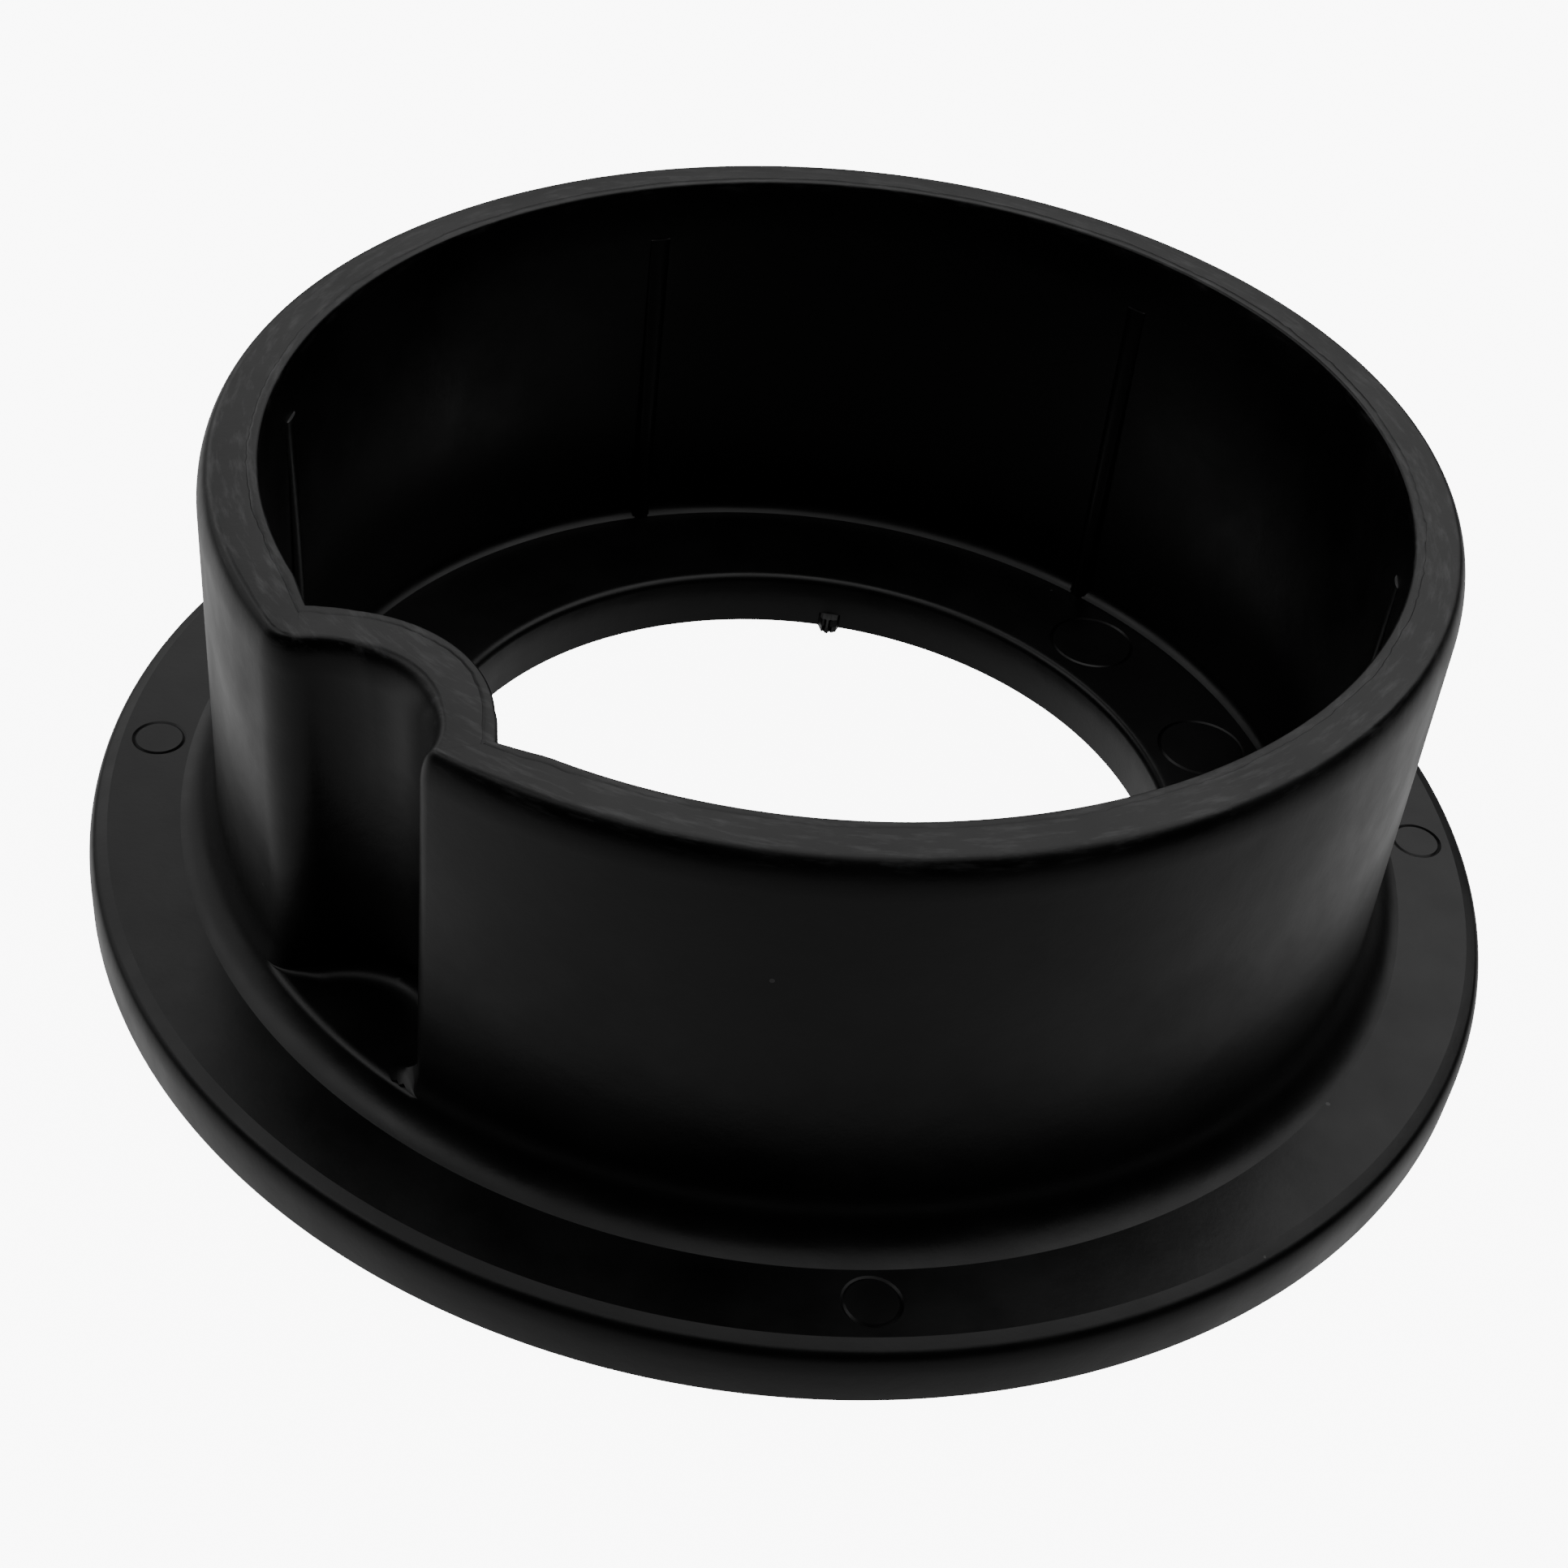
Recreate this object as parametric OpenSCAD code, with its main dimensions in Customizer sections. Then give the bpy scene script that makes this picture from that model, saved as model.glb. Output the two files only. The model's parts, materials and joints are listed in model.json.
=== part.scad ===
// Flanged ring collar with a side channel, one soft rubber moulding.
// The origin is on the ring's axis, on the flat underside. Z points up through the ring.

/* [Flange and floor] */
// Outer diameter of the flange
flange_d = 114; // [104:1:130]
// Thickness of the flange and of the floor inside the ring
base_t = 5.1; // [4:0.1:6]
// Rounding of the flange's upper edge
flange_round = 2.2; // [0.5:0.1:3]
// Rounding of the flange's lower edge
flange_break = 0.4; // [0.2:0.1:1]
// Diameter of the round opening in the floor
opening_d = 62.6; // [50:0.2:66]
// Rounding of the opening's upper edge
opening_round = 0.8; // [0.2:0.1:1.5]

/* [Ring wall] */
// Outer diameter of the ring
ring_d = 94; // [92:0.1:98]
// Height of the rim above the underside
ring_h = 38.8; // [25:0.1:60]
// Thickness of the ring wall, and of the wall around the channel
wall_t = 4.3; // [3.6:0.1:5]
// Rounding of the rim's outer edge
rim_round = 1.8; // [1:0.1:3.4]
// Fillet between the flange and the ring
foot_round = 1.8; // [0.5:0.1:3]
// Fillet between the floor and the inside of the ring
floor_round = 1.2; // [0.9:0.1:2]
// Fillet between the floor and the bulge that the channel makes inside the ring
bulge_foot = 0.8; // [0.3:0.1:0.8]

/* [Side channel] */
// Direction of the channel's mouth, in degrees about the ring's axis
channel_angle = 232; // [225:0.5:240]
// Radius of the channel
channel_r = 6.9; // [5:0.1:8]
// Distance from the ring's axis to the channel's axis
channel_offset = 47.8; // [46:0.1:49]
// Height of the channel's floor above the underside
channel_floor = 7.2; // [7:0.1:15]
// Depth of the bevel on the two upright edges of the mouth
bevel = 0.8; // [0.3:0.1:1.2]
// Fillet around the channel's floor
channel_fillet = 1; // [0.3:0.1:2]

/* [Grip ribs] */
// Number of upright ribs inside the ring
rib_count = 5; // [1:1:5]
// Direction of the first rib
rib_start = 177.5; // [170:0.5:185]
// Angle from each rib to the next
rib_step = 60; // [50:1:60]
// Radius of a rib at its foot
rib_foot_r = 0.9; // [0.4:0.1:1.2]
// Radius of a rib at its tip
rib_tip_r = 0.2; // [0.1:0.1:0.4]
// Distance from the rim down to a rib's tip
rib_drop = 5; // [2:0.5:15]

/* [Ejector marks] */
// Directions of the marks on the flange
flange_mark_angles = [6, 96, 185.5, 280.5]; // 0 to 360 each
// Distance of the flange's marks from the ring's axis
flange_mark_r = 52.6; // [52:0.1:53.5]
// Diameter of a mark on the flange
flange_mark_d = 4; // [3:0.1:5]
// Directions of the marks on the floor
floor_mark_angles = [22.5, 48.5]; // 0 to 360 each
// Diameter of a mark on the floor
floor_mark_d = 8; // [6:0.1:9]
// Depth of a mark
mark_depth = 0.15; // [0.05:0.05:0.3]

/* [Hidden] */
$fn = 180;

flange_r = flange_d / 2;
opening_r = opening_d / 2;
ring_r = ring_d / 2;
inner_r = ring_r - wall_t;
bulge_r = channel_r + wall_t;
over = 1;

// The channel and the ring's outside meet in two upright edges. This is their angle from the middle of
// the mouth, by the law of cosines.
mouth_angle = acos((ring_r ^ 2 + channel_offset ^ 2 - channel_r ^ 2) / (2 * ring_r * channel_offset));

// The corner left outside a quarter-round of radius r, with its point at the origin: it fills a fillet
// and it cuts a rounded edge
module spandrel(r) {
    difference() {
        translate([-over, -over]) square(r + over);
        translate([r, r]) circle(r);
    }
}

// Outline of the flange and the floor, from the opening to the flange's edge
module base_outline() {
    difference() {
        translate([opening_r, 0]) square([flange_r - opening_r, base_t]);
        translate([opening_r, base_t]) mirror([0, 1]) spandrel(opening_round);
        translate([flange_r, base_t]) mirror([1, 0]) mirror([0, 1]) spandrel(flange_round);
        translate([flange_r, 0]) mirror([1, 0]) spandrel(flange_break);
    }
}

// Outline of a solid pillar of radius r, up to height top, with a foot that flares onto height z
module pillar_outline(r, foot, z, top) {
    translate([0, z - over]) square([r, top - z + over]);
    translate([r, z]) spandrel(foot);
}

// Outline of a hollow of radius r above height z, with a fillet around its floor
module hollow_outline(r, fillet, z) {
    difference() {
        translate([0, z]) square([r, ring_h - z + over]);
        translate([r, z]) mirror([1, 0]) spandrel(fillet);
    }
}

// Moves what it is given onto the channel's axis
module at_channel() {
    rotate([0, 0, channel_angle]) translate([channel_offset, 0, 0]) children();
}

// The ring before its hollows are cut, with its rim rounded on the outside
module ring_blank() {
    rotate_extrude() difference() {
        pillar_outline(ring_r, foot_round, base_t, ring_h);
        translate([ring_r, ring_h]) mirror([1, 0]) mirror([0, 1]) spandrel(rim_round);
    }
}

// The space inside the ring, with the channel's bulge left standing in it
module inside_space() {
    difference() {
        rotate_extrude() hollow_outline(inner_r, floor_round, base_t);
        at_channel() rotate_extrude() pillar_outline(bulge_r, bulge_foot, base_t, ring_h + 2 * over);
    }
}

// The bevel on one upright edge of the mouth, square to the middle of the corner between the ring's
// outside and the channel, on the side given as 1 or -1
module mouth_bevel(side) {
    out = [cos(mouth_angle), side * sin(mouth_angle)];
    edge = ring_r * out;
    in = ([channel_offset, 0] - edge) / channel_r;
    middle = out + in;
    reach = 4 * bevel;
    translate([edge[0], edge[1], channel_floor]) rotate([0, 0, atan2(middle[1], middle[0])])
        translate([-bevel, -reach / 2, 0]) cube([reach, reach, ring_h]);
}

// The channel: a round hollow through the wall, open to the outside, with its rim rounded outwards
module channel() {
    at_channel() rotate_extrude() {
        hollow_outline(channel_r, channel_fillet, channel_floor);
        translate([channel_r, ring_h]) mirror([0, 1]) spandrel(rim_round);
    }
    rotate([0, 0, channel_angle]) for (side = [-1, 1]) mouth_bevel(side);
}

// Upright ribs inside the ring, thicker towards the floor
module ribs() {
    for (i = [0 : rib_count - 1])
        rotate([0, 0, rib_start - i * rib_step]) translate([inner_r, 0, base_t / 2])
            cylinder(r1 = rib_foot_r, r2 = rib_tip_r, h = ring_h - rib_drop - base_t / 2);
}

// Shallow round marks, at the angles given, at the distance r from the axis
module marks(angles, r, d) {
    for (a = angles)
        rotate([0, 0, a]) translate([r, 0, base_t - mark_depth]) cylinder(d = d, h = over);
}

module collar() {
    color("#1c1c1e") difference() {
        union() {
            rotate_extrude() base_outline();
            difference() {
                ring_blank();
                inside_space();
                channel();
                translate([0, 0, -over]) cylinder(r = inner_r - floor_round, h = base_t + over);
            }
            ribs();
        }
        marks(flange_mark_angles, flange_mark_r, flange_mark_d);
        marks(floor_mark_angles, (opening_r + inner_r) / 2, floor_mark_d);
    }
}

collar();
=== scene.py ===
"""Looks of the flanged rubber collar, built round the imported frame. Metres, Z up."""

import json
import math

import bmesh
import bpy
import numpy as np
from mathutils import Matrix, Vector, noise


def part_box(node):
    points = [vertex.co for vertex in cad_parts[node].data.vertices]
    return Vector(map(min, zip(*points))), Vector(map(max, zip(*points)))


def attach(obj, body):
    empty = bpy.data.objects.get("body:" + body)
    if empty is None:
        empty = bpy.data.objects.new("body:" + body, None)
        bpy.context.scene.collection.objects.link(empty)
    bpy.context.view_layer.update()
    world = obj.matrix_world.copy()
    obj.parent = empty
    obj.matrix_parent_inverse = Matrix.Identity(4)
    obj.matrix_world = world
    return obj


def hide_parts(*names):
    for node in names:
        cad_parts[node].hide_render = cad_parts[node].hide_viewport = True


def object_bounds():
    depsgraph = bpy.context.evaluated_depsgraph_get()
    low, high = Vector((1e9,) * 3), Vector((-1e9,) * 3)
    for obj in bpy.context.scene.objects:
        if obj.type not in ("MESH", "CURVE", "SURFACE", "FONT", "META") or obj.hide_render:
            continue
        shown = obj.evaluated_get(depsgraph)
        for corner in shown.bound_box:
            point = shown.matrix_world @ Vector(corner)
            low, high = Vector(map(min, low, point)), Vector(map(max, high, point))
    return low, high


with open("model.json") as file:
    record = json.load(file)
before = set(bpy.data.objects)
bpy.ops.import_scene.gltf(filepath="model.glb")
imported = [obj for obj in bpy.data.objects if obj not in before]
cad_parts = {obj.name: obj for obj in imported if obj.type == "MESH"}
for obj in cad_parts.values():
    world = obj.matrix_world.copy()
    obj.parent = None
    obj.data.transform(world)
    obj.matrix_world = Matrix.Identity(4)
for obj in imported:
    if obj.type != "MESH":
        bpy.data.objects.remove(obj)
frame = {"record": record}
CAD_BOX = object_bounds()
MM = 0.001

# Sizes that come from the frame
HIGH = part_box("collar")[1]
MOUNTS = {mount["name"]: mount for mount in frame["record"]["mounts"]}
FLANGE_R = HIGH.y
RIM_Z = HIGH.z
RING_R = MOUNTS["ring_outside"]["dims"]["r_mm"] * MM
OPENING_R = MOUNTS["floor_opening"]["dims"]["r_mm"] * MM
CHANNEL_R = MOUNTS["side_channel"]["dims"]["r_mm"] * MM
CHANNEL_X, CHANNEL_Y, _ = MOUNTS["side_channel"]["pos_m"]
CHANNEL_OFFSET = math.hypot(CHANNEL_X, CHANNEL_Y)
MOUTH = math.atan2(CHANNEL_Y, CHANNEL_X)

# Section of the flange, the floor and the wall
BASE_T = 5.1 * MM
WALL_T = 4.3 * MM
LOWER_BREAK = 0.4 * MM
RIM_ROUND = 1.2 * MM
RIM_DROP = 2.8 * MM
RIM_INNER_BREAK = 0.25 * MM

# The cove round the floor: its size, and its curve as (distance from the wall, height above the floor)
FLOOR_COVE = 1.2 * MM
FLOOR_CURVE = ((0, FLOOR_COVE), (0, 0.4 * FLOOR_COVE), (0.6 * FLOOR_COVE, 0))

# The flange's edge: a curve with its start, pull and end as (radius, height), then a bevel to the crease
EDGE_CURVE = ((FLANGE_R, 2.6 * MM), (FLANGE_R, 4.44 * MM), (FLANGE_R - 0.75 * MM, 4.77 * MM))
EDGE_CREASE = FLANGE_R - 1.5 * MM

# The cove at the ring's foot: its radius, and how steeply it starts at the flange
FOOT_ROUND = 4.5 * MM
FOOT_START = math.radians(20)

# Upper and lower edge of the opening
OPENING_ROUND = 0.7 * MM
OPENING_BREAK = 0.15 * MM

# The channel and its mouth: the posts and the floor's cove are given at its left and at its right
CHANNEL_FLOOR = 7.2 * MM
CHANNEL_COVE = (1.2 * MM, 2.3 * MM)
POST_R = (3.3 * MM, 1.3 * MM)
SHELF_BREAK = 0.3 * MM
FOOT_TOP = CHANNEL_FLOOR - 1.2 * SHELF_BREAK

# The soft ring stands a little out of round: by this much at the rim, longest in this direction
OVAL = 0.033
OVAL_ANGLE = math.radians(59.7)

# It is also twisted a little, from the first angle at the floor to the second at the rim
TWIST = (math.radians(-0.8), math.radians(1.2))

# The channel's back leans out, from this far inwards at the floor to this far outwards at the rim. The lean
# is full this deep in the wall, fades between two angles beside the middle, and starts over this height.
LEAN = (-0.9 * MM, 1.3 * MM)
LEAN_DEPTH = 5.5 * MM
LEAN_WIDTH = (math.radians(17), math.radians(10))
LEAN_START = 0.05

# Parting line on the rim, which wanders between these two distances from the rim's inner edge
PARTING_NEAR = 0.45 * MM
PARTING_FAR = 0.95 * MM
PARTING_WIDTH = 0.1 * MM
PARTING_DEPTH = 0.04 * MM
PARTING_WAVES = 9
PARTING_WANDER = 0.5
PARTING_SECTION = ((-1, 0), (-0.4, 1), (0.4, 0.4), (1, 0))

# Ribs inside the ring
RIB_ANGLES = [math.radians(a) for a in (177.5, 117.5, 57.5, -2.5, -62.5)]
RIB_FOOT_R = 0.9 * MM
RIB_TIP_R = 0.2 * MM
RIB_TOP = RIM_Z - 5.0 * MM
RIB_TOP_GAP = 0.05 * MM
RIB_SPREAD = (0, 0.25, 0.5, 0.7, 0.85, 0.95, 1.0, 1.2, 1.6, 2.2)

# Ejector marks, thin grooves round flush discs: directions in degrees, and towards where each is deeper
FLANGE_MARKS = ((6, 50), (96, 200), (185.5, 265), (280.5, 320))
FLANGE_MARK_R = 2.0 * MM
FLANGE_MARK_AT = 52.6 * MM
FLOOR_MARKS = ((22.5, 200), (48.5, 90))
FLOOR_MARK_R = 3.7 * MM
MARK_DEPTH = 0.13 * MM
MARK_HALF = 0.16 * MM
MARK_TILT = 0.35

# Gate nub under the opening's edge
NUB_ANGLE = math.radians(90.3)
NUB_HALF = 1.0 * MM
NUB_FINE = 1.4 * NUB_HALF
NUB_REACH = 1.5 * MM
NUB_TOP = 1.5 * MM
NUB_EASE = 0.4 * NUB_TOP
NUB_WAVES = 300

# Places of the mesh's rows on the flat faces and on the upright walls
UNDERSIDE_R = (36 * MM, 42 * MM, 48 * MM, 53 * MM, FLANGE_R - 2 * LOWER_BREAK)
FLANGE_SHARES = (0, 0.02, 0.25, 0.5, 0.75, 0.98, 1)
SHELF_SHARES = (0.03, 0.35, 0.7, 0.97)
FLOOR_SHARES = (0.02, 0.3, 0.65, 0.98)
WALL_Z = [z * MM for z in (7.5, 7.8, 8.2, 8.7, 9.3, 10.4, 16, 22, 28, 34)]
OPENING_Z = (3 * MM, 2 * MM, NUB_TOP, 0.8 * NUB_TOP, 0.5 * NUB_TOP, 0.3 * NUB_TOP, OPENING_BREAK)

TURN = 2 * math.pi
HALF_TURN = math.pi
QUARTER_TURN = math.pi / 2

# Fineness of the mesh
STEP = math.radians(0.8)
POST_POINTS = 9
CHANNEL_POINTS = 49
NUB_POINTS = 15
RIB_STEPS = 12
FOOT_STEPS = 18
BEND_STEPS = 14
ROUND_STEPS = 14
COVE_STEPS = 7
BREAK_STEPS = 4
LIP_STEPS = 6
FLOOR_STEPS = 8
MARK_POINTS = 72
SHADE_CARD_POINTS = 90
STUDIO_POINTS = 96

# The ring's points are drawn towards the posts over this angle
EASE = math.radians(24)

# Edges sharper than this stay sharp in the shading
SHARP = math.radians(17)

# Points nearer than this are one point, and points this little outside the ring still stand on it
SAME = 1e-7
ON_RING = 0.01 * MM


def polar(radius, angle):
    """Points at this distance and these directions."""
    return np.stack([radius * np.cos(angle), radius * np.sin(angle)], axis=-1)


def crossing(ring, hollow):
    """Half angle between the two points where a circle about the axis meets one about the channel."""
    cosine = (ring**2 + CHANNEL_OFFSET**2 - hollow**2) / (2 * ring * CHANNEL_OFFSET)
    return math.acos(cosine)


LEFT_END, RIGHT_END = [crossing(RING_R - r, CHANNEL_R + r) for r in POST_R]
SHELF_SHARE = 0.97
SHELF_ANGLE = SHELF_SHARE * crossing(RING_R, CHANNEL_R)


def ring_directions():
    """Directions round the ring from one corner of the mouth to the other, closer at ribs and nub."""
    end = crossing(RING_R - WALL_T, CHANNEL_R + WALL_T)
    fine = []
    for rib in RIB_ANGLES:
        middle = (rib - MOUTH) % TURN
        for spread in RIB_SPREAD:
            offset = spread * RIB_FOOT_R / (RING_R - WALL_T)
            fine += [middle - offset, middle + offset]
    nub = (NUB_ANGLE - MOUTH) % TURN
    half = NUB_FINE / OPENING_R
    fine += list(np.linspace(nub - half, nub + half, NUB_POINTS))
    fine = np.unique(np.round(fine, 9))
    plain = np.linspace(end, TURN - end, int((TURN - 2 * end) / STEP) + 1)
    gap = np.abs(plain[:, None] - fine[None, :]).min(axis=1)
    return end, np.sort(np.concatenate([plain[gap > STEP / 2], fine]))


RING_END, RING_BASE = ring_directions()


def ring_angles(first, last):
    """The ring's directions, with the first and last drawn to these angles from the mouth's middle."""
    near = np.clip(1 - (RING_BASE - RING_END) / EASE, 0, 1) ** 2
    far = np.clip(1 - (TURN - RING_END - RING_BASE) / EASE, 0, 1) ** 2
    return RING_BASE + (first - RING_END) * near - (last - RING_END) * far


def round_outline(radius):
    """A plain circle about the axis, with the mouth's points spread over the mouth's width."""
    down = np.linspace(-LEFT_END, -SHELF_ANGLE, POST_POINTS + 2)[1:-1]
    across = np.linspace(-SHELF_ANGLE, SHELF_ANGLE, CHANNEL_POINTS)
    up = np.linspace(SHELF_ANGLE, RIGHT_END, POST_POINTS + 2)[1:-1]
    angles = [ring_angles(RIGHT_END, LEFT_END), down, across, up]
    return polar(radius, np.concatenate(angles))


def post(radius, inset):
    """A post on the mouth's left: its angle from the middle, where it meets the channel, and its points."""
    reach = max(inset, radius)
    end = crossing(RING_R - reach, CHANNEL_R + reach)
    centre = polar(RING_R - reach, np.array(-end))
    towards = math.atan2(-centre[1], CHANNEL_OFFSET - centre[0])
    turn = np.linspace(-end, towards, POST_POINTS + 2)[1:-1]
    return end, towards, centre + polar(reach - inset, turn)


def mouth_outline(inset):
    """The ring's outside turning into the channel round two posts, moved into the rubber by the inset."""
    left_end, left_towards, left = post(POST_R[0], inset)
    right_end, right_towards, right = post(POST_R[1], inset)
    sweep = np.linspace(left_towards - HALF_TURN, -right_towards - HALF_TURN, CHANNEL_POINTS)
    channel = polar(CHANNEL_R + inset, sweep) + [CHANNEL_OFFSET, 0]
    ring = polar(RING_R - inset, ring_angles(right_end, left_end))
    return np.concatenate([ring, left, channel, right[::-1] * [1, -1]])


RING_COUNT = len(RING_BASE)
OUTWARD_STEP = 0.5 * MM
OUTSIDE = mouth_outline(0)
OUTWARD = (OUTSIDE - mouth_outline(OUTWARD_STEP)) / OUTWARD_STEP
AROUND = np.arctan2(OUTSIDE[:, 1], OUTSIDE[:, 0]) + MOUTH


def mouth_weights(on_corner):
    """1 across the channel, 0 round the ring, and on_corner(t) on a post, t running from ring to channel."""
    t = np.linspace(0, 1, POST_POINTS + 2)[1:-1]
    corner = on_corner(t)
    return np.concatenate([np.zeros(RING_COUNT), corner, np.ones(CHANNEL_POINTS), corner[::-1]])


def row(outline, z):
    """A row of points: an outline and its height, or a height for each point."""
    return np.column_stack([outline, np.broadcast_to(z, len(outline))])


def arc(start, end, steps):
    """Angles of a rounding, both ends included."""
    return np.linspace(start, end, steps + 1)


def underside_rows():
    """From the opening, across the underside and round the flange's lower edge."""
    rows = [row(round_outline(OPENING_R + OPENING_BREAK), 0)]
    for radius in UNDERSIDE_R:
        rows.append(row(round_outline(radius), 0))
    for a in arc(0, QUARTER_TURN, BREAK_STEPS):
        radius = FLANGE_R - LOWER_BREAK * (1 - math.sin(a))
        rows.append(row(round_outline(radius), LOWER_BREAK * (1 - math.cos(a))))
    return rows


def bend(curve, steps):
    """Points of a smooth curve from its start to its end, drawn towards its pull."""
    start, pull, end = [np.array(point) for point in curve]
    t = np.linspace(0, 1, steps + 1)[:, None]
    return (1 - t) ** 2 * start + 2 * t * (1 - t) * pull + t**2 * end


def foot_reach(z):
    """How far the cove at the ring's foot stands out of the wall at this height."""
    steepness = math.cos(FOOT_START) - (z - BASE_T) / FOOT_ROUND
    return FOOT_ROUND * (1 - math.sqrt(1 - max(0, steepness) ** 2))


def flange_rows():
    """Up the flange's edge and in over its flat top to the ring's foot."""
    rows = [row(round_outline(radius), z) for radius, z in bend(EDGE_CURVE, BEND_STEPS)]
    inner = RING_R + foot_reach(BASE_T)
    for t in FLANGE_SHARES:
        rows.append(row(round_outline(EDGE_CREASE + t * (inner - EDGE_CREASE)), BASE_T))
    return rows


def foot_rows():
    """Up the ring's foot to just under the channel's floor. The cove is put on in with_foot."""
    return [row(round_outline(RING_R), z) for z in np.linspace(BASE_T, FOOT_TOP, FOOT_STEPS + 1)[1:]]


def shelf_rows():
    """The channel's floor: over its rounded outer edge, back to the channel's wall and up a small cove."""
    rows = []
    lip = mouth_weights(lambda t: np.minimum(1, 2 * t))
    for a in arc(0, QUARTER_TURN, BREAK_STEPS):
        inset = SHELF_BREAK * (1 - math.cos(a)) * lip
        outline = round_outline(1) * (RING_R - inset)[:, None]
        rows.append(row(outline, CHANNEL_FLOOR - SHELF_BREAK * (1 - math.sin(a))))
    edge = rows[-1]
    cove = mouth_weights(lambda t: t**2)
    widths = np.linspace(CHANNEL_COVE[0], CHANNEL_COVE[1], CHANNEL_POINTS)
    ends = (CHANNEL_COVE[0] * np.ones(POST_POINTS), widths, CHANNEL_COVE[1] * np.ones(POST_POINTS))
    cove[RING_COUNT:] *= np.concatenate(ends)
    start = row(OUTSIDE + OUTWARD * cove[:, None], CHANNEL_FLOOR)
    for t in SHELF_SHARES:
        rows.append(edge + t * (start - edge))
    for a in arc(0, QUARTER_TURN, COVE_STEPS):
        outline = OUTSIDE + OUTWARD * (cove * (1 - math.sin(a)))[:, None]
        rows.append(row(outline, CHANNEL_FLOOR + cove * (1 - math.cos(a))))
    return rows


def rim_rows():
    """Up the outside, round the rim's outer edge and over its flat top, with the parting line in it."""
    rows = []
    for z in WALL_Z:
        rows.append(row(OUTSIDE, z))
    for a in arc(0, QUARTER_TURN, ROUND_STEPS):
        inset = RIM_ROUND * (1 - math.cos(a))
        rows.append(row(mouth_outline(inset), RIM_Z - RIM_DROP * (1 - math.sin(a))))
    wander = ragged(AROUND, PARTING_WAVES, PARTING_WANDER)
    for side, drop in PARTING_SECTION:
        near = mouth_outline(WALL_T - PARTING_NEAR + side * PARTING_WIDTH)
        far = mouth_outline(WALL_T - PARTING_FAR + side * PARTING_WIDTH)
        outline = near + wander[:, None] * (far - near)
        rows.append(row(outline, RIM_Z - drop * PARTING_DEPTH))
    for a in arc(0, QUARTER_TURN, BREAK_STEPS):
        inset = WALL_T - RIM_INNER_BREAK * (1 - math.sin(a))
        rows.append(row(mouth_outline(inset), RIM_Z - RIM_INNER_BREAK * (1 - math.cos(a))))
    return rows


def ragged(angles, waves, strength):
    """A wandering value from 0 to 1 for each direction, the same at every run."""
    values = []
    for a in angles:
        around = Vector((math.cos(a), math.sin(a), 0))
        slow = noise.noise(around * waves)
        quick = noise.noise(around * waves * 7)
        values.append(0.5 + strength * (0.7 * slow + 0.5 * quick))
    return np.clip(values, 0, 1)


def rib_bulge(z):
    """How far the ribs stand off the ring's inner wall at this height."""
    height = np.zeros(len(AROUND))
    if z > RIB_TOP:
        return height
    radius = RIB_FOOT_R + (RIB_TIP_R - RIB_FOOT_R) * max(0, z - BASE_T) / (RIB_TOP - BASE_T)
    for rib in RIB_ANGLES:
        away = (AROUND - rib + HALF_TURN) % TURN - HALF_TURN
        along = away * (RING_R - WALL_T) / RIB_FOOT_R
        arch = np.sqrt(np.clip(1 - along**2, 0, 1))
        height = np.maximum(height, arch * radius)
    return height


def inner_row(inset, z):
    """A row of the inner wall, with the ribs standing on it."""
    outline = mouth_outline(inset)
    extra = np.maximum(0, rib_bulge(z) - (inset - WALL_T))
    extra[RING_COUNT:] = 0
    length = np.linalg.norm(outline, axis=1)
    return row(outline * (1 - extra / length)[:, None], z)


def inside_rows():
    """Down the inner wall with its ribs, round the cove at its foot and over the floor to the opening."""
    rows = [inner_row(WALL_T, RIB_TOP + RIB_TOP_GAP)]
    for z in np.linspace(RIB_TOP, BASE_T + FLOOR_COVE, RIB_STEPS)[:-1]:
        rows.append(inner_row(WALL_T, z))
    for inset, z in bend(FLOOR_CURVE, FLOOR_STEPS):
        rows.append(inner_row(WALL_T + inset, BASE_T + z))
    foot = rows[-1]
    edge = row(round_outline(OPENING_R + OPENING_ROUND), BASE_T)
    for t in FLOOR_SHARES:
        rows.append(foot + t * (edge - foot))
    return rows


def opening_rows():
    """Over the opening's rounded edge and down its wall, with the gate nub at the bottom."""
    rows = []
    for a in arc(0, QUARTER_TURN, LIP_STEPS):
        radius = OPENING_R + OPENING_ROUND * (1 - math.sin(a))
        rows.append(row(round_outline(radius), BASE_T - OPENING_ROUND * (1 - math.cos(a))))
    for z in OPENING_Z:
        outline = round_outline(1) * (OPENING_R - nub_reach(z))[:, None]
        rows.append(row(outline, z))
    return rows


def nub_reach(z):
    """How far the gate nub stands into the opening at this height."""
    outline = round_outline(1)
    around = np.arctan2(outline[:, 1], outline[:, 0]) + MOUTH
    away = (around - NUB_ANGLE + HALF_TURN) % TURN - HALF_TURN
    across = np.clip(1 - (np.abs(away) * OPENING_R / NUB_HALF) ** 4, 0, 1)
    up = min(1, max(0, (NUB_TOP - z) / NUB_EASE))
    return NUB_REACH * across * up * (0.55 + 0.45 * ragged(around, NUB_WAVES, 1))


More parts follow.
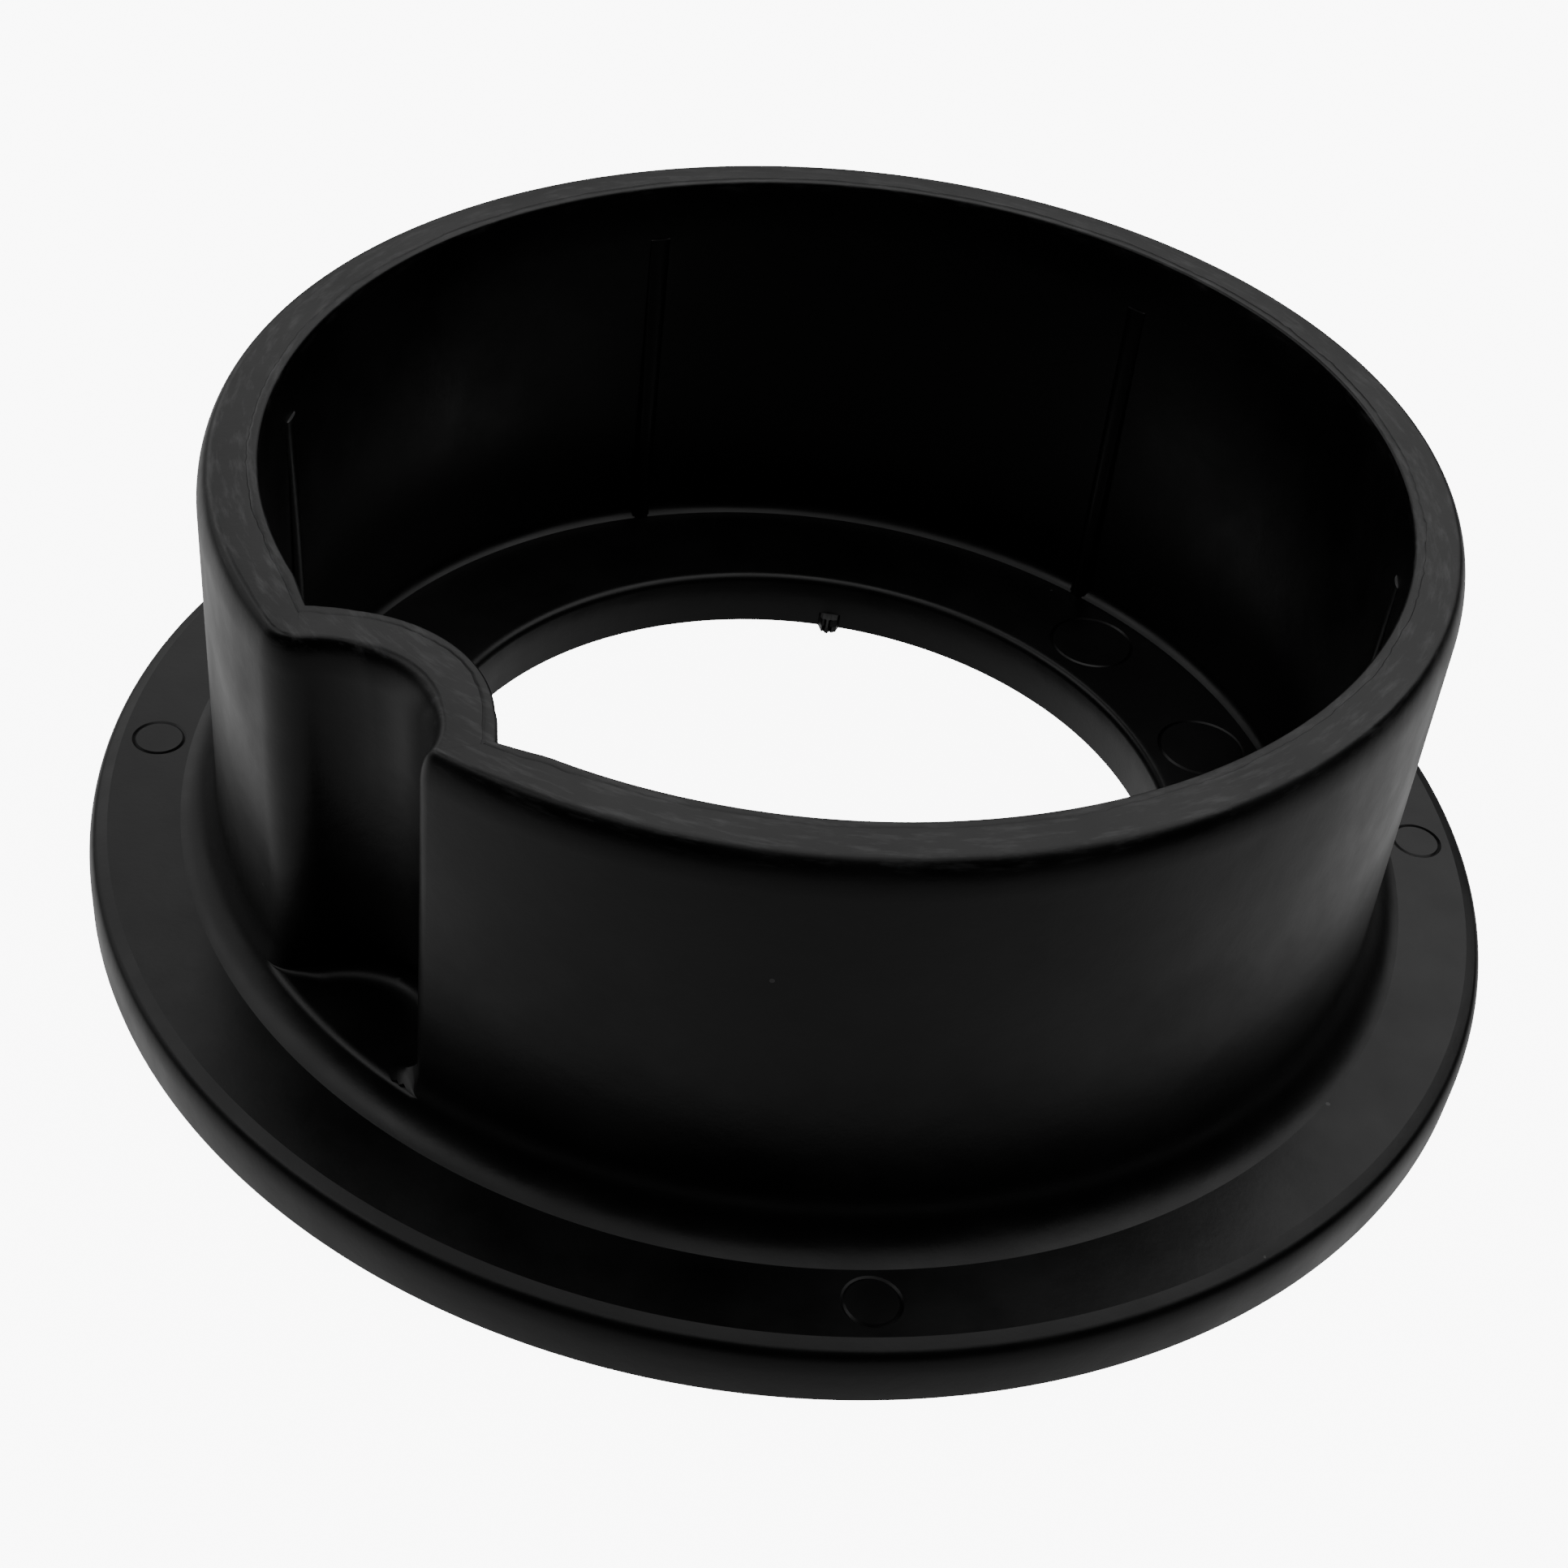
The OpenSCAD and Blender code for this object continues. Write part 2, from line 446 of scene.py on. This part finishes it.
def skin(rows):
    """Joins each row to the next, and the last to the first, and returns the closed mesh."""
    bm = bmesh.new()
    turn = Matrix.Rotation(MOUTH, 4, "Z")
    made = []
    for points in rows:
        verts = []
        for j, point in enumerate(points):
            place = out_of_round(turn @ Vector(point))
            below = made[-1][j] if made else None
            beside = verts[-1] if verts else None
            verts.append(shared(place, below) or shared(place, beside) or bm.verts.new(place))
        made.append(verts)
    for lower, upper in zip(made, made[1:] + made[:1]):
        for j in range(len(lower)):
            k = (j + 1) % len(lower)
            corners = list(dict.fromkeys([lower[j], lower[k], upper[k], upper[j]]))
            if len(corners) > 2:
                bm.faces.new(corners)
    bmesh.ops.recalc_face_normals(bm, faces=bm.faces)
    return bm


def with_foot(place):
    """The point moved out with the cove at the ring's foot, which runs on past the channel's floor."""
    radius = math.hypot(place.x, place.y)
    outside = min(1, max(0, (radius - RING_R) / MM + 1))
    scale = 1 + outside * foot_reach(place.z) / radius
    return Vector((place.x * scale, place.y * scale, place.z))


def lean(place, height):
    """How far a point at the channel's back leans outwards."""
    depth = (RING_R - math.hypot(place.x, place.y)) / LEAN_DEPTH
    beside = abs((math.atan2(place.y, place.x) - MOUTH + HALF_TURN) % TURN - HALF_TURN)
    middle = (LEAN_WIDTH[0] - beside) / (LEAN_WIDTH[0] - LEAN_WIDTH[1])
    share = min(1, max(0, depth)) * min(1, max(0, middle))
    start = min(1, height / LEAN_START)
    return share * start * (LEAN[0] + height * (LEAN[1] - LEAN[0]))


def out_of_round(place):
    """The point with the foot's cove, the channel's lean, the twist and the oval put on."""
    height = max(0, place.z - BASE_T) / (RIM_Z - BASE_T)
    if place.z > BASE_T:
        if math.hypot(place.x, place.y) < RING_R + ON_RING:
            place = with_foot(place)
        place = place + Vector((math.cos(MOUTH), math.sin(MOUTH), 0)) * lean(place, height)
    place = Matrix.Rotation(TWIST[0] + height * (TWIST[1] - TWIST[0]), 3, "Z") @ place
    along = Vector((math.cos(OVAL_ANGLE), math.sin(OVAL_ANGLE), 0))
    across = Vector((-along.y, along.x, 0))
    change = along * place.dot(along) - across * place.dot(across)
    return place + OVAL * height * change


def shared(place, vert):
    """The vertex, if it already stands at this place."""
    if vert is not None and (vert.co - place).length < SAME:
        return vert
    return None


def mark_cutter(angle, towards, radius_at, radius):
    """A ring with a V-shaped section, which cuts the groove round a mark."""
    bm = bmesh.new()
    centre = polar(radius_at, np.radians(angle))
    turn = np.linspace(0, TURN, MARK_POINTS + 1)[:-1]
    depth = MARK_DEPTH * (1 + MARK_TILT * np.cos(turn - math.radians(towards)))
    rings = []
    for side, up in ((-2, 1), (0, -1), (2, 1)):
        outline = centre + polar(radius + side * MARK_HALF, turn)
        rings.append([bm.verts.new(point) for point in row(outline, BASE_T + up * depth)])
    for inner, outer in zip(rings, rings[1:] + rings[:1]):
        for j in range(len(turn)):
            bm.faces.new([inner[j - 1], inner[j], outer[j], outer[j - 1]])
    bmesh.ops.recalc_face_normals(bm, faces=bm.faces)
    return bm


def to_object(name, bm):
    """A linked object holding this mesh."""
    mesh = bpy.data.meshes.new(name)
    bm.to_mesh(mesh)
    bm.free()
    obj = bpy.data.objects.new(name, mesh)
    bpy.context.scene.collection.objects.link(obj)
    return obj


def sink_marks(collar):
    """Cuts the ejector marks out of the collar."""
    both = bmesh.new()
    floor_at = (OPENING_R + RING_R - WALL_T) / 2
    places = [(*mark, FLANGE_MARK_AT, FLANGE_MARK_R) for mark in FLANGE_MARKS]
    places += [(*mark, floor_at, FLOOR_MARK_R) for mark in FLOOR_MARKS]
    for angle, towards, radius_at, radius in places:
        cutter = mark_cutter(angle, towards, radius_at, radius)
        part = bpy.data.meshes.new("mark")
        cutter.to_mesh(part)
        cutter.free()
        both.from_mesh(part)
        bpy.data.meshes.remove(part)
    tool = to_object("mark_tool", both)
    cut = collar.modifiers.new("marks", "BOOLEAN")
    cut.object = tool
    cut.operation = "DIFFERENCE"
    cut.solver = "EXACT"
    settled = collar.evaluated_get(bpy.context.evaluated_depsgraph_get())
    mesh = bpy.data.meshes.new_from_object(settled)
    collar.modifiers.clear()
    collar.data = mesh
    bpy.data.objects.remove(tool)


def make_collar():
    """The whole moulding as one closed mesh."""
    rows = underside_rows() + flange_rows() + foot_rows() + shelf_rows()
    rows += rim_rows() + inside_rows() + opening_rows()
    collar = to_object("rubber_collar", skin(rows))
    sink_marks(collar)
    collar.data.shade_smooth()
    collar.data.set_sharp_from_angle(angle=SHARP)
    return collar


class Nodes:
    """Small helper that adds and joins shader nodes."""

    def __init__(self, owner, shader="Principled BSDF"):
        owner.use_nodes = True
        self.tree = owner.node_tree
        self.shader = self.tree.nodes[shader]

    def add(self, kind, **values):
        """A node with these properties and input values."""
        node = self.tree.nodes.new(kind)
        for key, value in values.items():
            if hasattr(node, key):
                setattr(node, key, value)
            else:
                node.inputs[key.replace("_", " ")].default_value = value
        return node

    def join(self, output, socket):
        """Joins an output to an input."""
        self.tree.links.new(output, socket)


# Rubber: its colour where clean and where smudged, worn on the rim, and dusty
CLEAN = (0.0015, 0.0015, 0.0016, 1)
SMUDGED = (0.003, 0.003, 0.0032, 1)
CLEAN_UNDER = 0.35
SMUDGED_OVER = 0.7
WORN = (0.05, 0.05, 0.051, 1)
DUSTY = (0.09, 0.09, 0.09, 1)
GLOSS = {"From_Min": 0.3, "From_Max": 0.7, "To_Min": 0.28, "To_Max": 0.42}
RUBBER_IOR = 1.5

# Sizes of the noise textures, in features per metre, and how hard they show
SMUDGE = {"Scale": 110.0, "Detail": 4.0, "Roughness": 0.6}
STREAK = {"Scale": 1900.0, "Detail": 3.0, "Roughness": 0.65}
GRAIN = {"Scale": 2600.0, "Detail": 3.0, "Roughness": 0.6}
FLOW = {"Scale": 260.0, "Detail": 2.0}
GRAIN_BUMP = {"Strength": 0.25, "Distance": 0.00003}
FLOW_BUMP = {"Strength": 0.2, "Distance": 0.0002}
DUST_SCALE = 190.0
DUST_SIZE = 0.035
DUST_SHARE = 0.1

# The rim's wear: how much the streaks are drawn out, where they start, and its depth below the rim
STREAK_ALONG = 0.008
STREAK_RANGE = {"From_Min": 0.5, "From_Max": 0.75}
WEAR_RANGE = {"From_Min": RIM_Z - 1.2 * MM, "From_Max": RIM_Z - 0.2 * MM}


def blended(n, share, under, over):
    """A colour that goes from the output under to the plain colour over by this share."""
    mix = n.add("ShaderNodeMix", data_type="RGBA")
    n.join(share, mix.inputs["Factor"])
    n.join(under, mix.inputs["A"])
    mix.inputs["B"].default_value = over
    return mix.outputs["Result"]


def maths(n, operation, first, second):
    """The outcome of an operation on an output and on another output or a number."""
    node = n.add("ShaderNodeMath", operation=operation)
    n.join(first, node.inputs[0])
    if isinstance(second, (int, float)):
        node.inputs[1].default_value = second
    else:
        n.join(second, node.inputs[1])
    return node.outputs[0]


def rim_wear(n, place):
    """Fine rubbed streaks that run round the top of the rim, from 0 to 1."""
    split = n.add("ShaderNodeSeparateXYZ")
    n.join(place, split.inputs["Vector"])
    flat = n.add("ShaderNodeVectorMath", operation="MULTIPLY")
    n.join(place, flat.inputs[0])
    flat.inputs[1].default_value = (1, 1, 0)
    radius = n.add("ShaderNodeVectorMath", operation="LENGTH")
    n.join(flat.outputs["Vector"], radius.inputs[0])
    angle = maths(n, "ARCTAN2", split.outputs["Y"], split.outputs["X"])
    ring = n.add("ShaderNodeCombineXYZ")
    n.join(radius.outputs["Value"], ring.inputs["X"])
    n.join(maths(n, "MULTIPLY", angle, STREAK_ALONG), ring.inputs["Y"])
    n.join(split.outputs["Z"], ring.inputs["Z"])
    streak = n.add("ShaderNodeTexNoise", **STREAK)
    n.join(ring.outputs["Vector"], streak.inputs["Vector"])
    sharp = n.add("ShaderNodeMapRange", **STREAK_RANGE)
    n.join(streak.outputs["Fac"], sharp.inputs["Value"])
    top = n.add("ShaderNodeMapRange", **WEAR_RANGE)
    n.join(split.outputs["Z"], top.inputs["Value"])
    return maths(n, "MULTIPLY", sharp.outputs["Result"], top.outputs["Result"])


def dust(n, place):
    """A few small round specks, from 0 to 1."""
    cells = n.add("ShaderNodeTexVoronoi", Scale=DUST_SCALE)
    n.join(place, cells.inputs["Vector"])
    near = maths(n, "LESS_THAN", cells.outputs["Distance"], DUST_SIZE)
    pick = n.add("ShaderNodeSeparateColor")
    n.join(cells.outputs["Color"], pick.inputs["Color"])
    rare = maths(n, "GREATER_THAN", pick.outputs["Red"], 1 - DUST_SHARE)
    return maths(n, "MULTIPLY", near, rare)


def smudges(n, place):
    """Sets the roughness by soft smudges, and returns the clean and smudged colour."""
    smudge = n.add("ShaderNodeTexNoise", **SMUDGE)
    n.join(place, smudge.inputs["Vector"])
    gloss = n.add("ShaderNodeMapRange", **GLOSS)
    n.join(smudge.outputs["Fac"], gloss.inputs["Value"])
    n.join(gloss.outputs["Result"], n.shader.inputs["Roughness"])
    tone = n.add("ShaderNodeValToRGB")
    clean, smudged = tone.color_ramp.elements
    clean.position = CLEAN_UNDER
    clean.color = CLEAN
    smudged.position = SMUDGED_OVER
    smudged.color = SMUDGED
    n.join(smudge.outputs["Fac"], tone.inputs["Fac"])
    return tone.outputs["Color"]


def grained(n, place):
    """Bends the surface by a slow flow of the rubber and by a fine moulded grain."""
    grain = n.add("ShaderNodeTexNoise", **GRAIN)
    n.join(place, grain.inputs["Vector"])
    flow = n.add("ShaderNodeTexNoise", **FLOW)
    n.join(place, flow.inputs["Vector"])
    coarse = n.add("ShaderNodeBump", **FLOW_BUMP)
    n.join(flow.outputs["Fac"], coarse.inputs["Height"])
    fine = n.add("ShaderNodeBump", **GRAIN_BUMP)
    n.join(grain.outputs["Fac"], fine.inputs["Height"])
    n.join(coarse.outputs["Normal"], fine.inputs["Normal"])
    n.join(fine.outputs["Normal"], n.shader.inputs["Normal"])


def rubber_material():
    """Near-black satin rubber with fine grain, faint smudges, a worn rim and a few specks of dust."""
    material = bpy.data.materials.new("satin_rubber")
    n = Nodes(material)
    place = n.add("ShaderNodeTexCoord").outputs["Object"]
    rubbed = blended(n, rim_wear(n, place), smudges(n, place), WORN)
    n.join(blended(n, dust(n, place), rubbed, DUSTY), n.shader.inputs["Base Color"])
    grained(n, place)
    n.shader.inputs["IOR"].default_value = RUBBER_IOR
    return material


# Camera: distance and direction from the origin, roll, and the view's size
CAMERA_DISTANCE = 0.1974
CAMERA_ELEVATION = math.radians(40.4)
CAMERA_ROLL = 0.1456
CAMERA_LENS = 53.6
CAMERA_SENSOR = 36
CAMERA_NEAR = 0.01
CAMERA_SHIFT = (-0.0063, 0.0346)


def make_camera():
    """The camera, aimed at the middle of the underside."""
    data = bpy.data.cameras.new("camera")
    data.lens = CAMERA_LENS
    data.sensor_width = CAMERA_SENSOR
    data.shift_x, data.shift_y = CAMERA_SHIFT
    data.clip_start = CAMERA_NEAR
    camera = bpy.data.objects.new("camera", data)
    bpy.context.scene.collection.objects.link(camera)
    back = Vector((0, -math.cos(CAMERA_ELEVATION), math.sin(CAMERA_ELEVATION)))
    tilt = back.to_track_quat("Z", "Y").to_matrix().to_4x4()
    roll = Matrix.Rotation(CAMERA_ROLL, 4, "Z")
    camera.matrix_world = Matrix.Translation(back * CAMERA_DISTANCE) @ tilt @ roll
    bpy.context.scene.camera = camera


# How bright the table looks in reflections from the front and from the back, which lies this way
TABLE_FRONT = 0.22
TABLE_BACK = 0.66
TABLE_BACKWARDS = (-0.25, 1, 0)
TABLE_SPAN = 0.75

# How bright the room is, and where the table fades into it, as sines of the angle above the horizon
ROOM = 0.01
TABLE_END = -0.32
ROOM_START = -0.08

# Soft panels: name, elevation and spread in degrees, width, radiance, shift to the right, turn in degrees
PANELS = (
    ("back", 30, 24, 2.4, 0.58, 0, 0),
    ("overhead", 68, 56, 1.6, 1.0, 0.45, 0),
    ("left", 20, 36, 1.2, 0.42, 0, 62),
    ("side", 44, 26, 0.7, 0.75, 0, 86),
    ("front", 108, 24, 2.4, 0.5, 0, 0),
)

# Half the floor's width, and the radius of the wall round it
STUDIO_R = 6

# The floor's and the wall's colour, glow and roughness
PALE = (0.9, 0.9, 0.9, 1)
PALE_GLOW = 9.0
PALE_ROUGHNESS = 0.9

# How far the floor and the painted shade card lie under the object
FLOOR_GAP = 0.2 * MM
SHADE_CARD_GAP = 0.1 * MM

# The painted shade card under the opening, a disc seen only in reflections, and how faintly it glows as a
# painted dim reflection
SHADE_CARD_R = 27 * MM
SHADE_CARD_GLOW = 0.035


def area_light(name, place, aim, size, radiance):
    """A soft rectangular light at a place, pointing at aim, as bright as this all over its face."""
    data = bpy.data.lights.new(name, "AREA")
    data.shape = "RECTANGLE"
    data.size, data.size_y = size
    data.energy = radiance * math.pi * size[0] * size[1]
    light = bpy.data.objects.new(name, data)
    bpy.context.scene.collection.objects.link(light)
    light.location = place
    direction = Vector(place) - Vector(aim)
    light.rotation_euler = direction.to_track_quat("Z", "Y").to_euler()


def softbox(name, elevation, spread, width, radiance, right, turn):
    """A panel 1 m away, spread about an elevation in degrees and turned leftwards from the back."""
    rise = math.radians(elevation)
    turned = Matrix.Rotation(math.radians(turn), 3, "Z")
    place = turned @ Vector((right, math.cos(rise), math.sin(rise)))
    aim = turned @ Vector((right, 0, 0))
    size = (width, 2 * math.tan(math.radians(spread) / 2))
    area_light(name, place, aim, size, radiance)


def glowing(name, bm):
    """A pale object that glows, so that it stays nearly white, and that doesn't light the rubber."""
    made = to_object(name, bm)
    material = bpy.data.materials.new(name)
    n = Nodes(material)
    n.shader.inputs["Base Color"].default_value = PALE
    n.shader.inputs["Roughness"].default_value = PALE_ROUGHNESS
    n.shader.inputs["Emission Color"].default_value = (1, 1, 1, 1)
    n.shader.inputs["Emission Strength"].default_value = PALE_GLOW
    made.data.materials.append(material)
    made.visible_glossy = False
    made.visible_diffuse = False
    return made


def make_floor():
    """The pale floor, and a pale wall far round it."""
    grid = bmesh.new()
    bmesh.ops.create_grid(grid, x_segments=1, y_segments=1, size=STUDIO_R)
    floor = glowing("pale_floor", grid)
    floor.location.z = CAD_BOX[0].z - FLOOR_GAP
    tube = bmesh.new()
    size = {"radius1": STUDIO_R, "radius2": STUDIO_R, "depth": 2 * STUDIO_R}
    bmesh.ops.create_cone(tube, cap_ends=False, segments=STUDIO_POINTS, **size)
    wall = glowing("pale_wall", tube)
    wall.visible_shadow = False


def make_painted_shade_card():
    """Painted shade: a nearly black disc under the opening, seen only in reflections, which darkens the
    inside; its faint glow is a painted dim reflection.
    """
    bm = bmesh.new()
    bmesh.ops.create_circle(bm, cap_ends=True, segments=SHADE_CARD_POINTS, radius=SHADE_CARD_R)
    painted_shade_card = to_object("painted_shade_card", bm)
    painted_shade_card.location.z = CAD_BOX[0].z - SHADE_CARD_GAP
    painted_shade_card.visible_camera = False
    painted_shade_card.visible_shadow = False
    material = bpy.data.materials.new("painted_shade_card_material")
    n = Nodes(material)
    n.shader.inputs["Base Color"].default_value = (0, 0, 0, 1)
    # The faint glow is a painted dim reflection in the opening's inside
    n.shader.inputs["Emission Color"].default_value = (1, 1, 1, 1)
    n.shader.inputs["Emission Strength"].default_value = SHADE_CARD_GLOW
    n.shader.inputs["Roughness"].default_value = 1
    n.shader.inputs["Specular IOR Level"].default_value = 0
    painted_shade_card.data.materials.append(material)


def make_surroundings():
    """A dark room above the table, and the table's grey, which gets paler towards the back."""
    world = bpy.data.worlds.new("world")
    bpy.context.scene.world = world
    n = Nodes(world, "Background")
    place = n.add("ShaderNodeTexCoord").outputs["Generated"]
    split = n.add("ShaderNodeSeparateXYZ")
    n.join(place, split.inputs["Vector"])
    backwards = n.add("ShaderNodeVectorMath", operation="DOT_PRODUCT")
    backwards.inputs[1].default_value = TABLE_BACKWARDS
    n.join(place, backwards.inputs[0])
    span = {"From_Min": -TABLE_SPAN, "From_Max": TABLE_SPAN}
    table = n.add("ShaderNodeMapRange", To_Min=TABLE_FRONT, To_Max=TABLE_BACK, **span)
    n.join(backwards.outputs["Value"], table.inputs["Value"])
    ramp = n.add("ShaderNodeMapRange", From_Min=TABLE_END, From_Max=ROOM_START, To_Max=ROOM)
    n.join(split.outputs["Z"], ramp.inputs["Value"])
    n.join(table.outputs["Result"], ramp.inputs["To Min"])
    n.join(ramp.outputs["Result"], n.shader.inputs["Strength"])
    n.shader.inputs["Color"].default_value = (1, 1, 1, 1)


def make_panels():
    """The soft panels that light the object."""
    for name, elevation, spread, width, radiance, right, turn in PANELS:
        softbox(name, elevation, spread, width, radiance, right, turn)


make_camera()
make_floor()
make_surroundings()
# Painted shade under the opening, seen only in reflections
make_painted_shade_card()
make_panels()

collar = make_collar()
collar.data.materials.clear()
collar.data.materials.append(rubber_material())
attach(collar, "root")
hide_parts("collar")
